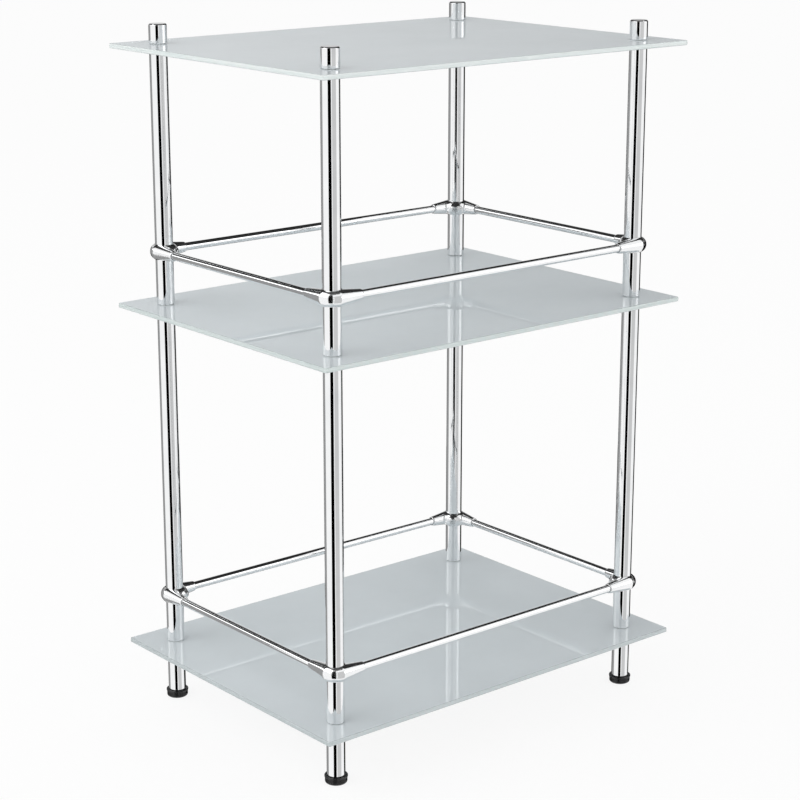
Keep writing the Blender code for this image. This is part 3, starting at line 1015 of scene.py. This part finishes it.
casting = upright("cast_connector", ring_radius, -RING_HEIGHT / 2, RING_HEIGHT / 2, RING_SIDES)
round_edges(casting, level_rim(-RING_HEIGHT / 2, RING_HEIGHT / 2), RING_ROUND, 12)
combine(casting, along_x(arm_cone()), "UNION")
combine(casting, along_y(arm_cone()), "UNION")
only(casting)
bpy.ops.object.modifier_add(type="REMESH")
casting.modifiers[-1].mode = "VOXEL"
casting.modifiers[-1].voxel_size = SKIN
bpy.ops.object.modifier_apply(modifier=casting.modifiers[-1].name)
bpy.ops.object.modifier_add(type="SMOOTH")
casting.modifiers[-1].factor = 0.5
casting.modifiers[-1].iterations = SKIN_SMOOTHING
bpy.ops.object.modifier_apply(modifier=casting.modifiers[-1].name)
print("Casting faces:", len(casting.data.polygons))

# %% [markdown]
# The bore for the post, the two sockets for the rails and the seat and hole for the screw are machined
# after casting, so they are cut sharp, and only then is the whole piece plated.

# %% Machine and place the connectors
combine(casting, upright("bore", POST_BORE, -CUT_END, CUT_END, RING_SIDES), "DIFFERENCE")
for lay in (along_x, along_y):
    socket = upright("socket", SOCKET_RADIUS, SOCKET_START, CUT_END, SOCKET_SIDES)
    combine(casting, lay(socket), "DIFFERENCE")
seat = upright("seat", SEAT_RADIUS, SEAT_START, CUT_END, SOCKET_SIDES)
combine(casting, inward(seat), "DIFFERENCE")
hole = upright("hole", SCREW_HOLE, 0, CUT_END, SCREW_HOLE_SIDES)
combine(casting, inward(hole), "DIFFERENCE")
only(casting)
bpy.ops.object.shade_smooth_by_angle(angle=CAST_ANGLE)
casting.data.materials.append(cast_chrome)
put_at_connectors(casting, "cast_connector", "chrome", "connector")
print("Connector faces:", len(casting.data.polygons))
bpy.data.objects.remove(casting)

# %% [markdown]
# ## The rails
#
# The rails are thin tube with open ends that sit in the sockets of the arms. The long and the short rail
# are each modelled once, standing up, and laid in their places.

# %% Model the rails
RAIL_SIDES = 96
RAIL_WALL = 1 * MM
RAIL_END_ROUND = 0.3 * MM
RAIL_OPEN_DEPTH = 12 * MM

for first, second, turn_axis in (("front", "back", "Y"), ("left", "right", "X")):
    low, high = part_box("upper_" + first + "_rail")
    radius = (high.z - low.z) / 2
    length = max(high.x - low.x, high.y - low.y)
    rail = upright("plated_rail", radius, -length / 2, length / 2, RAIL_SIDES)
    round_edges(rail, level_rim(-length / 2, length / 2), RAIL_END_ROUND, 2)
    sink_ends(rail, end_face(-length / 2, length / 2), RAIL_WALL - RAIL_END_ROUND, RAIL_OPEN_DEPTH)
    smooth(rail)
    rail.data.materials.append(tube_chrome)
    for gallery in GALLERIES:
        for side in (first, second):
            node = gallery + "_" + side + "_rail"
            low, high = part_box(node)
            place = Matrix.Translation((low + high) / 2) @ Matrix.Rotation(math.radians(90), 4, turn_axis)
            put(rail, gallery + "_" + side + "_plated_rail", place, "frame", "chrome", node)
    bpy.data.objects.remove(rail)
    print("Rail length in mm:", round(length / MM, 1))

# %% [markdown]
# ## The fixing screws
#
# A cross-head screw in the inner corner of each connector goes through the casting into the post and holds
# it there. The head is a cylinder with a domed rim, the shank is extruded from below it, and the cross is
# cut with two thin blocks.

# %% Model the screws
SCREW_SIDES = 64
HEAD_START = 13.1 * MM
HEAD_TOP = 15.1 * MM
HEAD_RADIUS = 3.4 * MM
HEAD_DOME = 0.9 * MM
HEAD_EASE = 0.2 * MM
SHANK_RADIUS = 2.0 * MM
SHANK_TIP = 5.3 * MM
SHANK_TIP_ROUND = 0.5 * MM
CROSS_LENGTH = 4.2 * MM
CROSS_WIDTH = 0.95 * MM
CROSS_DEPTH = 1.2 * MM

screw = upright("cross_screw", HEAD_RADIUS, HEAD_START, HEAD_TOP, SCREW_SIDES)
round_edges(screw, level_rim(HEAD_TOP), HEAD_DOME, 5)
round_edges(screw, level_rim(HEAD_START), HEAD_EASE, 2)
pick(screw, "FACE", end_face(HEAD_START))
bpy.ops.mesh.inset(thickness=HEAD_RADIUS - HEAD_EASE - SHANK_RADIUS)
bpy.ops.mesh.extrude_region_move(TRANSFORM_OT_translate={"value": (0, 0, SHANK_TIP - HEAD_START)})
bpy.ops.object.mode_set(mode="OBJECT")
round_edges(screw, level_rim(SHANK_TIP), SHANK_TIP_ROUND, 2)
for length, width in ((CROSS_LENGTH, CROSS_WIDTH), (CROSS_WIDTH, CROSS_LENGTH)):
    bpy.ops.object.select_all(action="DESELECT")
    blade = (length, width, 2 * CROSS_DEPTH)
    bpy.ops.mesh.primitive_cube_add(size=1, location=(0, 0, HEAD_TOP), scale=blade)
    combine(screw, settle("blade"), "DIFFERENCE")
smooth(screw)
screw.data.materials.append(plated_steel)
inward(screw)
put_at_connectors(screw, "cross_screw", "steel", "fixing_screw")
print("Screw faces:", len(screw.data.polygons))
bpy.data.objects.remove(screw)

# %% [markdown]
# ## The studs
#
# The threaded studs inside the tubes are right as solids, so the CAD nodes stay and take the zinc finish.

# %% Finish the studs
studs = [name for name in frame["nodes"] if name.endswith("_stud")]
for name in studs:
    for material_slot in frame["nodes"][name].material_slots:
        material_slot.material = plated_steel
print("Studs:", len(studs))
